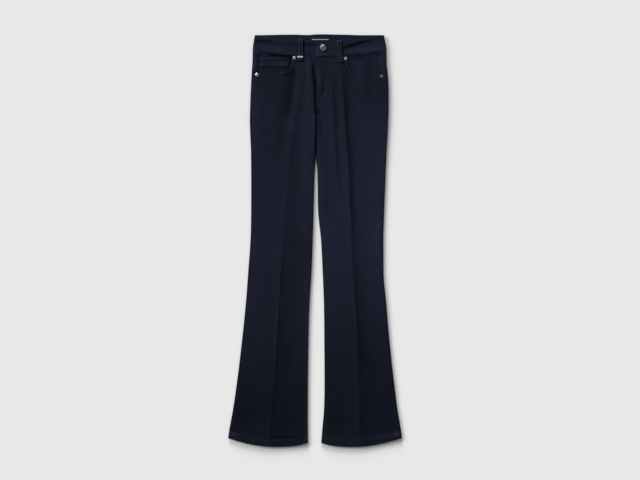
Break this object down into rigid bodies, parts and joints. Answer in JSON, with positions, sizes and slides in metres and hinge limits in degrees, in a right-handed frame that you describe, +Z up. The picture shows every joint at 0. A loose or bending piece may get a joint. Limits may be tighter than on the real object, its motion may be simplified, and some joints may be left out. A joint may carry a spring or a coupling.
{
  "type": "flared jeans laid flat",
  "caption": "Dark navy stretch-denim flared jeans laid flat, front up: five-pocket cut with a lapped fly, button waist, belt loops, pressed creases and wide hems.",
  "frame": {"origin": "on the surface that the jeans lie on, under the middle of their laid outline", "axes": "+Z up from the surface, +Y along the legs towards the waist, -X towards the wearer's right leg"},
  "size_m": [0.4604, 1.0904, 0.0121],
  "materials": {
    "denim": "dark navy stretch twill denim, slight sheen, tonal stitching",
    "white_tape": "plain woven off-white tape",
    "green_tape": "plain woven green label tape with a pale lower edge",
    "zip_tape": "dark woven zip tape",
    "dark_metal": "antique dark nickel",
    "silver_metal": "satin silver"
  },
  "bodies": {
    "root": {"front_panel_right": "denim", "front_panel_left": "denim", "back_panel_right": "denim", "back_panel_left": "denim", "back_yoke_right": "denim", "back_yoke_left": "denim", "pocket_facing_right": "denim", "pocket_facing_left": "denim", "coin_pocket": "denim", "back_pocket_right": "denim", "back_pocket_left": "denim", "waistband_front_right": "denim", "waistband_front_left": "denim", "waistband_back": "denim", "belt_loop_front_right": "denim", "belt_loop_front_left": "denim", "belt_loop_back_right": "denim", "belt_loop_back_centre": "denim", "belt_loop_back_left": "denim", "loop_tab": "white_tape", "waist_label": "green_tape", "fly_zip": "zip_tape", "waist_button": "dark_metal", "rivet_right_inner": "silver_metal", "rivet_right_outer": "silver_metal", "rivet_left_inner": "silver_metal", "rivet_left_outer": "silver_metal"}
  },
  "joints": []
}
